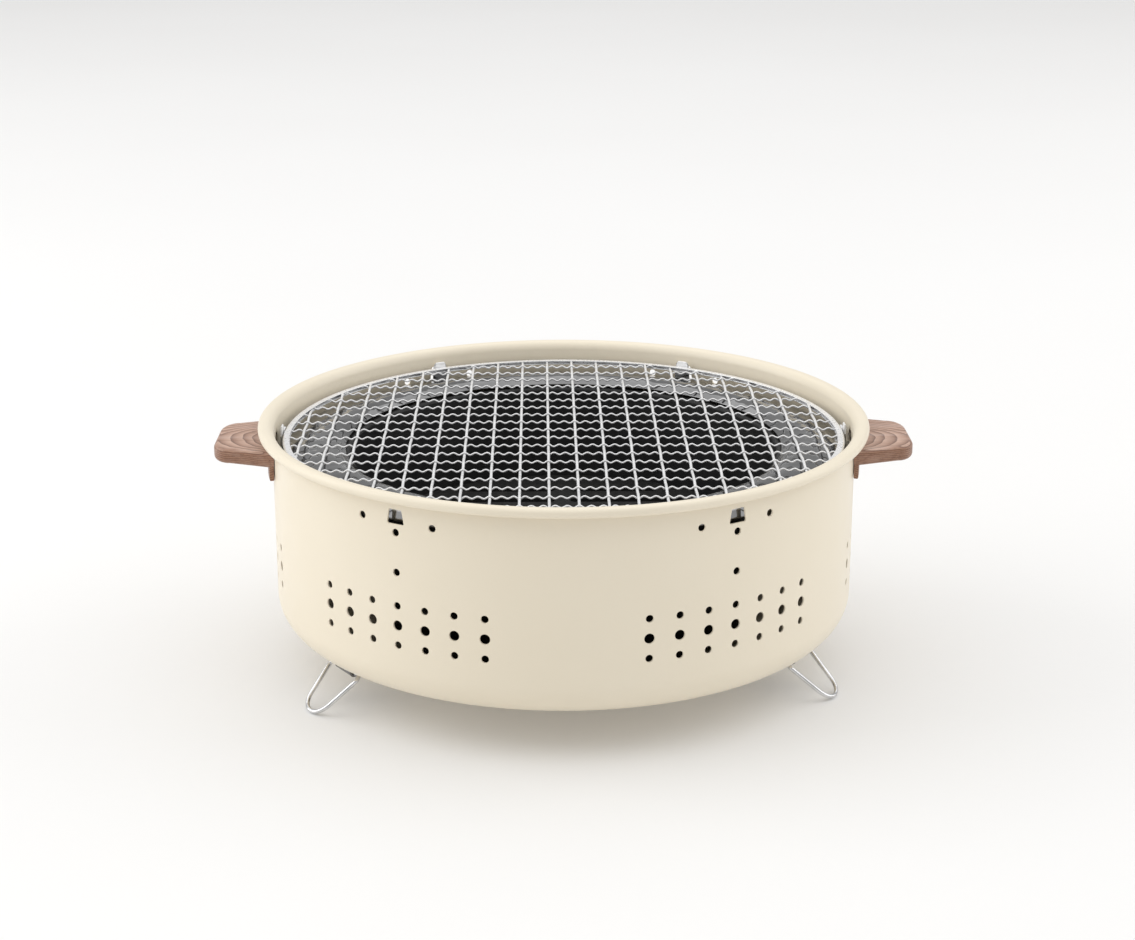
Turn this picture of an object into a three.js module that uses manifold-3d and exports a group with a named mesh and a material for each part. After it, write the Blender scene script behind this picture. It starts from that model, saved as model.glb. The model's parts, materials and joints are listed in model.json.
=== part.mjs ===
// Round table-top hibachi grill: an enamelled steel tub on three folding wire legs, with two wooden
// handles, a black charcoal bowl with a bright steel collar, and a woven wire cooking net.
// Millimetres, +Z up, the table at z = 0, the tub's axis on the Z axis, the handles along X.

import * as THREE from 'three';
import { mergeGeometries, mergeVertices } from 'three/addons/utils/BufferGeometryUtils.js';
import Module from 'manifold-3d';

const wasm = await Module();
wasm.setup();

// ---- driving dimensions ----

const AROUND = 48;                 // facets round the big turned parts
const CORNER_STEPS = 4;            // facets of a rounded corner
const PUNCH_SIDES = 6;             // sides of the many small wall holes
const PIN_SIDES = 8;               // sides of screw and rivet holes
const GAP = 0.3;                   // clearance kept between neighbouring pieces

const TUB_RADIUS = 145;            // outside of the wall
const TUB_SHEET = 1;
const TUB_FLOOR = 21.2;            // underside of the floor
const TUB_TOP = 125.9;             // top of the rolled rim
const CORNER_WIDE = 20;            // round bottom corner, across
const CORNER_HIGH = 18;            // round bottom corner, upwards
const RIM_OUT = 151.9;             // outermost reach of the rolled rim
const RIM_LOW = 121.2;             // underside of the rolled rim
const RIM_SECTION = [              // from the outside of the wall over the top, as [radius, height]
  [TUB_RADIUS, RIM_LOW + 0.3], [147.6, RIM_LOW], [150.4, RIM_LOW + 0.5],
  [RIM_OUT, RIM_LOW + 2.3], [151.4, TUB_TOP - 1.1], [150.2, TUB_TOP],
  [147.8, TUB_TOP], [145.9, TUB_TOP - 1], [144.5, TUB_TOP - 3.4], [144, TUB_TOP - 7],
];

const GROUP_ANGLES = [-151.6, -90.6, -32.2, 32.2, 90.6, 151.6];  // hole groups, from the front
const SLOT_MID = 113.25;           // height of the slots' middle
const SLOT_HIGH = 6.9;
const SLOT_WIDE_LOW = 9.1;
const SLOT_WIDE_TOP = 6.7;
const SMALL_HOLE = 1.75;           // radius
const LARGE_HOLE = 2.4;            // radius
const FLANK_ANGLE = 7.6;           // flank holes, either side of a slot
const FLANK_HEIGHT = 110.65;
const PUNCH_DEPTH = 4;             // how far a cutter reaches past the wall, either side
const STEM_HEIGHTS = [105.75, 86.65];  // the two single holes below a slot
const VENT_ROWS = [
  { height: 70.4, radius: SMALL_HOLE },
  { height: 60.8, radius: LARGE_HOLE },
  { height: 51.2, radius: SMALL_HOLE },
];
const VENT_STEP = 5.8;             // angle between vent columns
const VENT_SIDE = 3;               // vent columns either side of the middle one

const HANDLE_TOP = 115;
const HANDLE_THICK = 7.4;
const HANDLE_END = 173.5;          // reach of the handle from the axis
const HANDLE_ROOT_HALF = 32.5;      // half width at the tub
const HANDLE_TIP_HALF = 24;        // half width near the tip
const HANDLE_CORNER = 7;
const HANDLE_EDGE = 1.6;           // rounding of the long edges
const LIP_LOW = 101.2;             // bottom of the lip that lies on the wall
const LIP_THICK = 2.3;
const LIP_INSET = 0.6;             // the lip's ends stand back from the handle's corners

const SCREW_SHANK = 1.4;           // radius
const SCREW_HEAD = 3.1;            // radius
const SCREW_HEAD_HIGH = 1.9;
const SCREW_LENGTH = 12;
const SCREW_POINT = 3;             // length of the tapered point
const SCREW_SIDES = 10;
const HEAD_FLAT = 0.7;             // flat top of a screw or rivet head, as a share of its radius

const LEG_ANGLES = { left: -56.5, right: 63.5, rear: 183.5 };
const LEG_WIRE = 1.1;              // radius
const LEG_SIDES = 6;
const LEG_STEPS = 38;              // facets along the wire
const LEG_ROLL = 20;               // turns the wire's section so that a corner meets the table
const LEG_HALF = 13.3;             // half distance between a leg's two arms at the pivot
const LEG_TIP = 9.3;               // radius of the bend at the foot
const LEG_TIP_FROM = 15;           // the arms close in by this angle towards the foot
const LEG_PIVOT_OUT = 127;         // pivot line from the tub's axis
const LEG_PIVOT_HIGH = 18.5;
const LEG_SLOPE = 40.5;            // splay of an open leg below the horizontal
const LEG_BEND = 3;                // bend between arm and pivot end
const LEG_END_GAP = 2;             // half gap between the two pivot ends
const CLIP_HALF = 7.5;             // half width of a leg clip
const CLIP_IN = 104;               // inner end of the clip's plate
const CLIP_PLATE_LOW = 19.9;
const CLIP_PLATE_TOP = 20.9;
const CLIP_EYE = 2.35;             // outer radius of the curled eye
const CLIP_EYE_SIDES = 16;
const CLIP_BORE = LEG_WIRE + GAP;
const CLIP_BORE_SIDES = 12;
const RIVET_OUT = 112;             // rivets from the tub's axis
const RIVET_SIDE = 4;
const RIVET_SHANK = 1.3;
const RIVET_HEAD = 2.5;
const RIVET_HEAD_HIGH = 0.9;

const COLLAR_OUT = 139.6;
const COLLAR_SHEET = 0.8;
const COLLAR_EDGE = 110.1;         // height of the collar's outer edge
const COLLAR_SECTION = [           // its top face, from the outer edge over the crest to the inner edge
  [COLLAR_OUT, COLLAR_EDGE], [132, 112.1], [125, 113.6], [119, 114.3],
  [113.5, 113.5], [109.8, 111.8], [108.4, 110.7],
];
const EAR_OUT = 141.5;             // outer face of the upturned ears
const EAR_LOW_WIDE = 8.7;
const EAR_TOP_WIDE = 7;
const EAR_TOP = 119.8;

const BOWL_SHEET = 1;
const BOWL_FLANGE = 113;           // radius of the bowl's flange
const BOWL_MOUTH = 107.5;
const BOWL_TOP = 109.6;
const BOWL_BOTTOM = 22.5;
const BOWL_FOOT = 90;
const BOWL_KNEE = { out: 96, height: 33 };
const BOWL_HEEL = { out: 94.6, height: 26.5 };
const BOWL_HOLES = 12;
const BOWL_HOLE = 4;               // radius
const BOWL_HOLE_HEIGHT = 45;
const BOWL_HOLE_REACH = 8;         // how far a cutter reaches past the side, either way

const GRATE_RADIUS = 98.4;
const GRATE_LOW = 59.4;
const GRATE_THICK = 3;
const GRATE_SLOTS = 9;
const GRATE_SLOT_STEP = 18;
const GRATE_SLOT_WIDE = 6;
const GRATE_BRIDGE = 8;            // solid bar left across the middle
const GRATE_BORDER = 10;

const NET_OUT = 140;
const NET_LEVEL = 116;
const NET_RING = 1.25;             // radius of the edge ring
const NET_PITCH = 13.6;
const NET_MAIN = 1.4;              // main wires, thickness
const NET_CROSS = 1;               // cross wires, thickness
const NET_SHIFT = 5.8;             // one main wire lies this far right of the middle
const NET_CROSS_STEP = 2;          // pitches between the cross wires that are modelled
const NET_SMALLEST = 4;            // an opening that reaches in less than this from the ring is left out
const NET_CUT = 3;                 // how far a cutter reaches past the net, up and down

// ---- small helpers ----

const radians = THREE.MathUtils.degToRad;

// A copy of a geometry with nothing but its corners, three to a triangle.
const plain = (geometry) => {
  const bare = geometry.index ? geometry.toNonIndexed() : geometry.clone();
  bare.deleteAttribute('normal');
  bare.deleteAttribute('uv');
  return bare;
};

const toSolid = (geometry) => {
  const merged = mergeVertices(plain(geometry), 1e-4);
  return new wasm.Manifold(new wasm.Mesh({
    numProp: 3,
    vertProperties: new Float32Array(merged.attributes.position.array),
    triVerts: new Uint32Array(merged.index.array),
  }));
};

const toGeometry = (solid) => {
  const mesh = solid.getMesh();
  const geometry = new THREE.BufferGeometry();
  geometry.setAttribute('position', new THREE.BufferAttribute(mesh.vertProperties, 3));
  geometry.setIndex(new THREE.BufferAttribute(mesh.triVerts, 1));
  return geometry;
};

// Cutters that don't touch each other, as one solid.
const apart = (geometries) => toSolid(mergeGeometries(geometries.map(plain)));

// A turned part from an outline of [radius, height] points that starts and ends on the axis or closes.
const turned = (outline, segments = AROUND) => {
  const points = outline.map(([radius, height]) => new THREE.Vector2(radius, height));
  return new THREE.LatheGeometry(points, segments).rotateX(Math.PI / 2);
};

const closed = (outline) => [...outline, outline[0]];

// Turns a shape that faces outwards at the front (towards -Y) to an angle counted from the front.
const turnTo = (geometry, degrees) => geometry.clone().rotateZ(radians(degrees));

const box = (wide, deep, high, x, y, z) => new THREE.BoxGeometry(wide, deep, high).translate(x, y, z);

const polygon = (points) => new THREE.Shape(points.map(([x, y]) => new THREE.Vector2(x, y)));

// A round pin along Y, from front to back, for punching holes through the wall at the front.
const frontPin = (radius, height, from, to, sides) => new THREE
  .CylinderGeometry(radius, radius, to - from, sides).translate(0, -(from + to) / 2, height);

const arc = (midX, midY, wide, high, fromDegrees, toDegrees, steps) => {
  const points = [];
  for (let step = 0; step <= steps; step += 1) {
    const angle = radians(fromDegrees + ((toDegrees - fromDegrees) * step) / steps);
    points.push([midX + wide * Math.cos(angle), midY + high * Math.sin(angle)]);
  }
  return points;
};

// ---- materials ----

const material = (color, roughness, metalness) => new THREE.MeshStandardMaterial({
  color, roughness, metalness,
});
const enamel = material('#e9e0cf', 0.35, 0);
const walnut = material('#96705c', 0.55, 0);
const zincWire = material('#cfd2d4', 0.3, 1);
const brightSteel = material('#b9bbbd', 0.18, 1);
const chrome = material('#d6d8da', 0.1, 1);
const blackEnamel = material('#1a1a1b', 0.4, 0);
const castIron = material('#222223', 0.7, 0.3);

// ---- tub ----

const tubOutline = () => {
  const cornerMid = TUB_RADIUS - CORNER_WIDE;
  const cornerTop = TUB_FLOOR + CORNER_HIGH;
  const corner = (inset, from, to) => arc(
    cornerMid, cornerTop, CORNER_WIDE - inset, CORNER_HIGH - inset, from, to, CORNER_STEPS);
  return [
    [0, TUB_FLOOR], ...corner(0, -90, 0), ...RIM_SECTION,
    ...corner(TUB_SHEET, 0, -90), [0, TUB_FLOOR + TUB_SHEET],
  ];
};

const slotCutter = () => {
  const low = SLOT_MID - SLOT_HIGH / 2;
  const top = SLOT_MID + SLOT_HIGH / 2;
  const shape = polygon([
    [-SLOT_WIDE_LOW / 2, low], [SLOT_WIDE_LOW / 2, low], [SLOT_WIDE_TOP / 2, top], [-SLOT_WIDE_TOP / 2, top],
  ]);
  return new THREE.ExtrudeGeometry(shape, { depth: 2 * PUNCH_DEPTH, bevelEnabled: false })
    .rotateX(Math.PI / 2).translate(0, -(TUB_RADIUS - PUNCH_DEPTH), 0);
};

const wallHole = (radius, height, degrees, sides = PUNCH_SIDES) => turnTo(
  frontPin(radius, height, TUB_RADIUS - PUNCH_DEPTH, TUB_RADIUS + PUNCH_DEPTH, sides), degrees);

const holeGroup = (degrees) => {
  const cutters = [turnTo(slotCutter(), degrees)];
  for (const side of [-1, 1]) {
    cutters.push(wallHole(SMALL_HOLE, FLANK_HEIGHT, degrees + side * FLANK_ANGLE, PIN_SIDES));
  }
  for (const height of STEM_HEIGHTS) {
    cutters.push(wallHole(SMALL_HOLE, height, degrees));
  }
  for (let column = -VENT_SIDE; column <= VENT_SIDE; column += 1) {
    for (const row of VENT_ROWS) {
      cutters.push(wallHole(row.radius, row.height, degrees + column * VENT_STEP));
    }
  }
  return cutters;
};

const rivetPlaces = () => Object.entries(LEG_ANGLES).flatMap(([leg, degrees]) => [
  { name: `leg_rivet_${leg}_1`, side: -RIVET_SIDE, degrees },
  { name: `leg_rivet_${leg}_2`, side: RIVET_SIDE, degrees },
]);

const standingPin = (radius, low, top, sides) => new THREE.CylinderGeometry(radius, radius, top - low, sides)
  .rotateX(Math.PI / 2).translate(0, 0, (low + top) / 2);

const rivetHole = ({ side, degrees }) => turnTo(
  standingPin(RIVET_SHANK + GAP, CLIP_PLATE_LOW, TUB_FLOOR + 2 * TUB_SHEET, PIN_SIDES)
    .translate(side, -RIVET_OUT, 0), degrees);

const tubShell = () => {
  const cutters = GROUP_ANGLES.flatMap(holeGroup).concat(rivetPlaces().map(rivetHole));
  return toGeometry(toSolid(turned(tubOutline())).subtract(apart(cutters)));
};

// ---- handles ----

// The handle points towards -Y here and is turned to its side afterwards.
const handle = (degrees, screwAngles) => {
  const rootOut = TUB_RADIUS + GAP + HANDLE_EDGE;
  const tipHalf = HANDLE_TIP_HALF - HANDLE_EDGE;
  const rootHalf = HANDLE_ROOT_HALF - HANDLE_EDGE;
  const end = HANDLE_END - HANDLE_EDGE;
  const rootAngle = THREE.MathUtils.radToDeg(Math.asin(rootHalf / rootOut));
  const against = arc(0, 0, rootOut, rootOut, -90 - rootAngle, -90 + rootAngle, 8);
  const cornerOut = tipHalf - HANDLE_CORNER;
  const corner = (side, from, to) => arc(
    side * cornerOut, HANDLE_CORNER - end, HANDLE_CORNER, HANDLE_CORNER, from, to, CORNER_STEPS);
  const outline = polygon([...against, ...corner(1, 0, -90), ...corner(-1, -90, -180)]);
  const slab = new THREE.ExtrudeGeometry(outline, {
    depth: HANDLE_THICK - 2 * HANDLE_EDGE,
    bevelThickness: HANDLE_EDGE,
    bevelSize: HANDLE_EDGE,
    bevelSegments: 2,
  }).translate(0, 0, HANDLE_TOP - HANDLE_THICK + HANDLE_EDGE);
  const lipIn = TUB_RADIUS + GAP;
  const lipOut = lipIn + LIP_THICK;
  const lipAngle = THREE.MathUtils.radToDeg(Math.asin((HANDLE_ROOT_HALF - LIP_INSET) / lipOut));
  const lipShape = polygon([
    ...arc(0, 0, lipIn, lipIn, -90 - lipAngle, -90 + lipAngle, 8),
    ...arc(0, 0, lipOut, lipOut, -90 + lipAngle, -90 - lipAngle, 8),
  ]);
  const lip = new THREE.ExtrudeGeometry(lipShape, {
    depth: HANDLE_TOP - HANDLE_EDGE - LIP_LOW,
    bevelEnabled: false,
  }).translate(0, 0, LIP_LOW);
  const whole = toSolid(slab).add(toSolid(lip));
  const pilot = frontPin(
    SCREW_SHANK + GAP, FLANK_HEIGHT, TUB_RADIUS - GAP, TUB_RADIUS + SCREW_LENGTH, PIN_SIDES);
  const pilots = screwAngles.map((angle) => turnTo(pilot, angle - degrees));
  return turnTo(toGeometry(whole.subtract(apart(pilots))), degrees);
};

const screw = (degrees) => {
  const seat = TUB_RADIUS - TUB_SHEET - 2 * GAP;
  const outline = [
    [0, -seat - SCREW_LENGTH], [SCREW_SHANK, -seat - SCREW_LENGTH + SCREW_POINT], [SCREW_SHANK, -seat],
    [SCREW_HEAD, -seat], [SCREW_HEAD, -seat + SCREW_HEAD_HIGH / 2],
    [SCREW_HEAD * HEAD_FLAT, -seat + SCREW_HEAD_HIGH], [0, -seat + SCREW_HEAD_HIGH],
  ];
  const points = outline.map(([radius, along]) => new THREE.Vector2(radius, along));
  return turnTo(new THREE.LatheGeometry(points, SCREW_SIDES).translate(0, 0, FLANK_HEIGHT), degrees);
};

// ---- folding legs ----

// Points along the middle of a leg's wire: from one pivot end, out along an arm, round the foot
// and back. The leg points towards -Y, sloping down from the pivot line, which runs along X.
const legCorners = () => {
  const slope = radians(LEG_SLOPE);
  const reach = (LEG_PIVOT_HIGH - LEG_WIRE) / Math.sin(slope);
  const half = [
    [LEG_END_GAP, 0],
    ...arc(LEG_HALF - LEG_BEND, LEG_BEND, LEG_BEND, LEG_BEND, -90, 0, 3),
    ...arc(0, reach - LEG_TIP, LEG_TIP, LEG_TIP, LEG_TIP_FROM, 90, 6),
  ];
  const otherHalf = half.slice(0, -1).reverse().map(([across, along]) => [-across, along]);
  return [...half, ...otherHalf].map(([across, along]) => new THREE.Vector3(
    across, -LEG_PIVOT_OUT - along * Math.cos(slope), LEG_PIVOT_HIGH - along * Math.sin(slope)));
};

const leg = (degrees) => {
  const middle = new THREE.CatmullRomCurve3(legCorners(), false, 'centripetal');
  const last = LEG_ROLL + 360 - 360 / LEG_SIDES;
  const section = polygon(arc(0, 0, LEG_WIRE, LEG_WIRE, LEG_ROLL, last, LEG_SIDES - 1));
  return turnTo(new THREE.ExtrudeGeometry(section, {
    steps: LEG_STEPS,
    extrudePath: middle,
    bevelEnabled: false,
  }), degrees);
};

// A clip is a plate under the floor whose outer edge is curled round the leg's two pivot ends.
const legClip = (degrees) => {
  const plate = box(2 * CLIP_HALF, LEG_PIVOT_OUT - CLIP_IN, CLIP_PLATE_TOP - CLIP_PLATE_LOW,
    0, -(LEG_PIVOT_OUT + CLIP_IN) / 2, (CLIP_PLATE_TOP + CLIP_PLATE_LOW) / 2);
  const along = (radius, sides, length) => new THREE.CylinderGeometry(radius, radius, length, sides)
    .rotateZ(Math.PI / 2).translate(0, -LEG_PIVOT_OUT, LEG_PIVOT_HIGH);
  const eye = toSolid(along(CLIP_EYE, CLIP_EYE_SIDES, 2 * CLIP_HALF));
  const bore = along(CLIP_BORE, CLIP_BORE_SIDES, 2 * CLIP_HALF + 2);
  const hole = standingPin(RIVET_SHANK + GAP, CLIP_PLATE_LOW - 1, CLIP_PLATE_TOP + 1, PIN_SIDES);
  const holes = [-1, 1].map((side) => hole.clone().translate(side * RIVET_SIDE, -RIVET_OUT, 0));
  return turnTo(toGeometry(toSolid(plate).add(eye).subtract(apart([bore, ...holes]))), degrees);
};

const rivet = ({ side, degrees }) => {
  const lowSeat = CLIP_PLATE_LOW - GAP;
  const topSeat = TUB_FLOOR + TUB_SHEET + GAP;
  const outline = [
    [0, lowSeat - RIVET_HEAD_HIGH], [RIVET_HEAD * HEAD_FLAT, lowSeat - RIVET_HEAD_HIGH],
    [RIVET_HEAD, lowSeat], [RIVET_SHANK, lowSeat], [RIVET_SHANK, topSeat], [RIVET_HEAD, topSeat],
    [RIVET_HEAD * HEAD_FLAT, topSeat + RIVET_HEAD_HIGH], [0, topSeat + RIVET_HEAD_HIGH],
  ];
  return turnTo(turned(outline, PIN_SIDES).translate(side, -RIVET_OUT, 0), degrees);
};

// ---- charcoal bowl, collar and grate ----

// A bright ring that rises from its outer edge to a crest and falls to its rolled inner edge,
// with six upturned ears that stand behind the slots and keep the net in the middle.
const collar = () => {
  const under = COLLAR_SECTION.map(([radius, height]) => [radius, height - COLLAR_SHEET]).reverse();
  const ring = toSolid(turned(closed([...under, ...COLLAR_SECTION])));
  const low = COLLAR_EDGE - COLLAR_SHEET;
  const earShape = polygon([
    [-EAR_LOW_WIDE / 2, low], [EAR_LOW_WIDE / 2, low],
    [EAR_TOP_WIDE / 2, EAR_TOP], [-EAR_TOP_WIDE / 2, EAR_TOP],
  ]);
  const ear = new THREE.ExtrudeGeometry(earShape, { depth: COLLAR_SHEET, bevelEnabled: false })
    .rotateX(Math.PI / 2).translate(0, -(EAR_OUT - COLLAR_SHEET), 0);
  const footDeep = EAR_OUT - COLLAR_OUT + COLLAR_SHEET;
  const foot = box(
    EAR_LOW_WIDE, footDeep, COLLAR_SHEET, 0, -(EAR_OUT - footDeep / 2), low + COLLAR_SHEET / 2);
  const tab = toGeometry(toSolid(ear).add(toSolid(foot)));
  return toGeometry(ring.add(apart(GROUP_ANGLES.map((degrees) => turnTo(tab, degrees)))));
};

const bowl = () => {
  const outside = [
    [0, BOWL_BOTTOM], [BOWL_FOOT, BOWL_BOTTOM], [BOWL_HEEL.out, BOWL_HEEL.height],
    [BOWL_KNEE.out, BOWL_KNEE.height],
    [BOWL_MOUTH, BOWL_TOP - BOWL_SHEET], [BOWL_FLANGE, BOWL_TOP - BOWL_SHEET],
  ];
  const inside = [
    [BOWL_FLANGE, BOWL_TOP], [BOWL_MOUTH - BOWL_SHEET, BOWL_TOP],
    [BOWL_KNEE.out - BOWL_SHEET, BOWL_KNEE.height],
    [BOWL_HEEL.out - BOWL_SHEET, BOWL_HEEL.height + BOWL_SHEET / 2],
    [BOWL_FOOT - BOWL_SHEET / 2, BOWL_BOTTOM + BOWL_SHEET], [0, BOWL_BOTTOM + BOWL_SHEET],
  ];
  const holes = [];
  for (let index = 0; index < BOWL_HOLES; index += 1) {
    const pin = frontPin(BOWL_HOLE, BOWL_HOLE_HEIGHT, BOWL_KNEE.out - BOWL_HOLE_REACH,
      BOWL_KNEE.out + BOWL_HOLE_REACH, PUNCH_SIDES);
    holes.push(turnTo(pin, (360 / BOWL_HOLES) * (index + 0.5)));
  }
  return toGeometry(toSolid(turned([...outside, ...inside])).subtract(apart(holes)));
};

const grate = () => {
  const disc = standingPin(GRATE_RADIUS, GRATE_LOW, GRATE_LOW + GRATE_THICK, AROUND);
  const cutters = [];
  for (let index = 0; index < GRATE_SLOTS; index += 1) {
    const y = (index - (GRATE_SLOTS - 1) / 2) * GRATE_SLOT_STEP;
    const reach = Math.sqrt((GRATE_RADIUS - GRATE_BORDER) ** 2 - y ** 2);
    const length = reach - GRATE_BRIDGE / 2;
    for (const side of [-1, 1]) {
      cutters.push(box(length, GRATE_SLOT_WIDE, 2 * GRATE_THICK,
        side * (GRATE_BRIDGE / 2 + length / 2), y, GRATE_LOW + GRATE_THICK / 2));
    }
  }
  return toGeometry(toSolid(disc).subtract(apart(cutters)));
};

// ---- cooking net ----

// The wires are straight flat bars here, with every second cross wire left out: a disc with an
// opening for every pair of meshes, set in a round edge ring.
const net = () => {
  const middle = NET_OUT - NET_RING;
  const ringOutline = closed(arc(middle, NET_LEVEL, NET_RING, NET_RING, 30, 330, 5));
  const disc = toSolid(standingPin(middle, NET_LEVEL - NET_MAIN / 2, NET_LEVEL + NET_MAIN / 2, AROUND));
  const reach = middle - NET_RING / 2;
  const inside = toSolid(standingPin(reach, NET_LEVEL - 2 * NET_CUT, NET_LEVEL + 2 * NET_CUT, AROUND));
  const cells = [];
  const count = Math.ceil(NET_OUT / NET_PITCH);
  const wide = NET_PITCH - NET_MAIN;
  const deep = NET_CROSS_STEP * NET_PITCH - NET_CROSS;
  for (let column = -count; column <= count; column += 1) {
    const x = NET_SHIFT + (column + 0.5) * NET_PITCH;
    for (let row = -count; row <= count; row += NET_CROSS_STEP) {
      const y = row * NET_PITCH;
      const nearX = Math.max(Math.abs(x) - wide / 2, 0);
      const nearY = Math.max(Math.abs(y) - deep / 2, 0);
      if (Math.hypot(nearX, nearY) < reach - NET_SMALLEST) {
        cells.push(box(wide, deep, 2 * NET_CUT, x, y, NET_LEVEL));
      }
    }
  }
  const openings = apart(cells).intersect(inside);
  return toGeometry(disc.subtract(openings).add(toSolid(turned(ringOutline, AROUND))));
};

// ---- assembly ----

const grill = new THREE.Group();
const place = (name, geometry, look) => {
  const mesh = new THREE.Mesh(geometry, look);
  mesh.name = name;
  grill.add(mesh);
};

place('tub_shell', tubShell(), enamel);
for (const [side, degrees] of [['left', -90], ['right', 90]]) {
  const groupAngle = GROUP_ANGLES.find((angle) => Math.abs(angle - degrees) < 5);
  const screwAngles = [groupAngle - FLANK_ANGLE, groupAngle + FLANK_ANGLE];
  place(`handle_${side}`, handle(degrees, screwAngles), walnut);
  screwAngles.forEach((angle, index) => place(`handle_screw_${side}_${index + 1}`, screw(angle), chrome));
}
for (const [side, degrees] of Object.entries(LEG_ANGLES)) {
  place(`leg_${side}`, leg(degrees), chrome);
  place(`leg_clip_${side}`, legClip(degrees), brightSteel);
}
for (const spot of rivetPlaces()) {
  place(spot.name, rivet(spot), brightSteel);
}
place('bowl_collar', collar(), brightSteel);
place('charcoal_bowl', bowl(), blackEnamel);
place('charcoal_grate', grate(), castIron);
place('cooking_net', net(), zincWire);

export default grill;
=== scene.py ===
import json
import math

import bpy
import bmesh
from mathutils import Matrix, Vector
from mathutils.geometry import delaunay_2d_cdt


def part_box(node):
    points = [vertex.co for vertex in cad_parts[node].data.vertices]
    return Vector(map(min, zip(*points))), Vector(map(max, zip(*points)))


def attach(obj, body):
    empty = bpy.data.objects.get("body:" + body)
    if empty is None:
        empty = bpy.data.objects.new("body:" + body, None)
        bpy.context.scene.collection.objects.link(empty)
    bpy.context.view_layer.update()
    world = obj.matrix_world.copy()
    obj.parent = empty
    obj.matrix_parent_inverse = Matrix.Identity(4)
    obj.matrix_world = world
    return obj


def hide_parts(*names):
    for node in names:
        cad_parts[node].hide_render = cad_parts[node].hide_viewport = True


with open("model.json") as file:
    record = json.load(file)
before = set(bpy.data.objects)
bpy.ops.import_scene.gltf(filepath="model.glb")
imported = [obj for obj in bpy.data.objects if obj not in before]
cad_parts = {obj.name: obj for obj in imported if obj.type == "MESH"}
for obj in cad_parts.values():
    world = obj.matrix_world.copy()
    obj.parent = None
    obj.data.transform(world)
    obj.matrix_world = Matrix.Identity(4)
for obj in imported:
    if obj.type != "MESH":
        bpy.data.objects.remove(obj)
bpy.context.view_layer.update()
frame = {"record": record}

# Visual model of the round table-top hibachi grill. Shapes are worked out in millimetres, turned to
# metres when a mesh is made. Angles round the grill count from the front (-Y) towards +X.

MM = 0.001
RECORD = frame["record"]
BODY_OF = {node: body for body, nodes in RECORD["behaviour"]["bodies"].items() for node in nodes}
SLOT_OF = {part["node"]: part["material_slot"] for part in RECORD["subparts"]}


def top_of(node):
    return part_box(node)[1].z / MM


def low_of(node):
    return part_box(node)[0].z / MM


# ---- tub ----
TUB_TOP = top_of("tub_shell")
TUB_FLOOR = low_of("tub_shell")          # underside of the floor
TUB_RADIUS = 145.0                       # outside of the wall
TUB_SHEET = 1.0
CORNER_WIDE, CORNER_HIGH = 20.0, 18.0
WALL_LOW = TUB_FLOOR + CORNER_HIGH
WALL_TOP = TUB_TOP - 7.0
WALL_ROWS = 20
RIM_RISE, RIM_CURL = 3.9, 1.85           # middle-of-sheet radii of the roll and of its curled edge
RIM_LAND = 149.55                        # where the flat top passes into the curl
GROUP_ANGLES = (-151.6, -90.6, -32.2, 32.2, 90.6, 151.6)
GROUP_HALF = 19.5                        # half angle of the wall patch that holds a group of holes
COLUMN = 1.5                             # angle between columns of a patch
FLOOR_RINGS = (0, 12, 30, 50, 70, 90, 108)  # radii of the rings of points in the flat floor
SLOT_MID = TUB_TOP - 12.65
SLOT_HIGH, SLOT_WIDE_LOW, SLOT_WIDE_TOP, SLOT_CORNER = 6.9, 9.1, 6.7, 0.7
SMALL_HOLE, LARGE_HOLE = 1.75, 2.4
FLANK_ANGLE, FLANK_HEIGHT = 7.6, TUB_TOP - 15.25
STEM_HEIGHTS = (TUB_TOP - 20.15, TUB_TOP - 39.25)
VENT_ROWS = ((TUB_TOP - 55.5, SMALL_HOLE), (TUB_TOP - 65.1, LARGE_HOLE), (TUB_TOP - 74.7, SMALL_HOLE))
VENT_STEP = 5.8
HOLE_EDGE = 0.25                         # rounding of a punched edge
HOLE_CLEAR = 0.9                         # no plain wall point lies this near a punched edge
PER_DEGREE = math.radians(1) * TUB_RADIUS  # length of one degree along the wall

# ---- handles ----
HANDLE_TOP = top_of("handle_left")
HANDLE_THICK = 7.4
HANDLE_END = 173.5
HANDLE_ROOT = TUB_RADIUS + 0.3
ROOT_HALF, TIP_HALF, HANDLE_EDGE = 32.5, 24.0, 1.9
TIP_ROUND, TIP_DEEP = 13.0, 8.5          # rounding of the tip, along it and out from the wall
LIP_LOW = low_of("handle_left")
LIP_THICK = 2.3
LIP_NARROW = 0.6                         # the lip ends this much short of the board's root
LIP_CLEAR = 0.05                         # keeps the lip's and the board's faces apart where they are joined
LIP_OVERLAP = 3.0                        # the lip reaches into the board up to this far below its top
LIP_EDGE = ((0.0, 0.5), (0.15, 0.2), (0.5, 0.0))  # (above the lip's low end, so far in)

# ---- screws, clips, rivets, legs ----
SCREW_SEAT = TUB_RADIUS - TUB_SHEET - 0.3
SCREW_HEAD, SCREW_HEAD_HIGH, SCREW_SHANK, SCREW_LENGTH, SCREW_POINT = 3.1, 1.9, 1.4, 12.0, 3.0
CROSS_LONG, CROSS_WIDE, CROSS_TAPER, CROSS_DEEP = 1.6, 0.35, 0.55, 1.2  # the cross in a screw's head
LEG_ANGLES = {"left": -56.5, "right": 63.5, "rear": 183.5}
LEG_WIRE = 1.1
LEG_PIVOT_OUT, LEG_PIVOT_HIGH, LEG_SLOPE = 127.0, 18.5, 40.5
LEG_TIP, LEG_CLOSE_IN, LEG_BEND, LEG_END_GAP = 9.3, 14.5, 3.0, 2.0
CLIP_HALF, CLIP_IN, CLIP_SHEET, CLIP_CURL = 7.5, 104.0, 0.95, 1.875
CLIP_MIDDLE = LEG_PIVOT_HIGH + CLIP_CURL
CLIP_STEPS, CLIP_FLAT = (0, 0.6, 1.4, 2.4), 116.0  # points from the inner end on, end of the flat part
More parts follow.
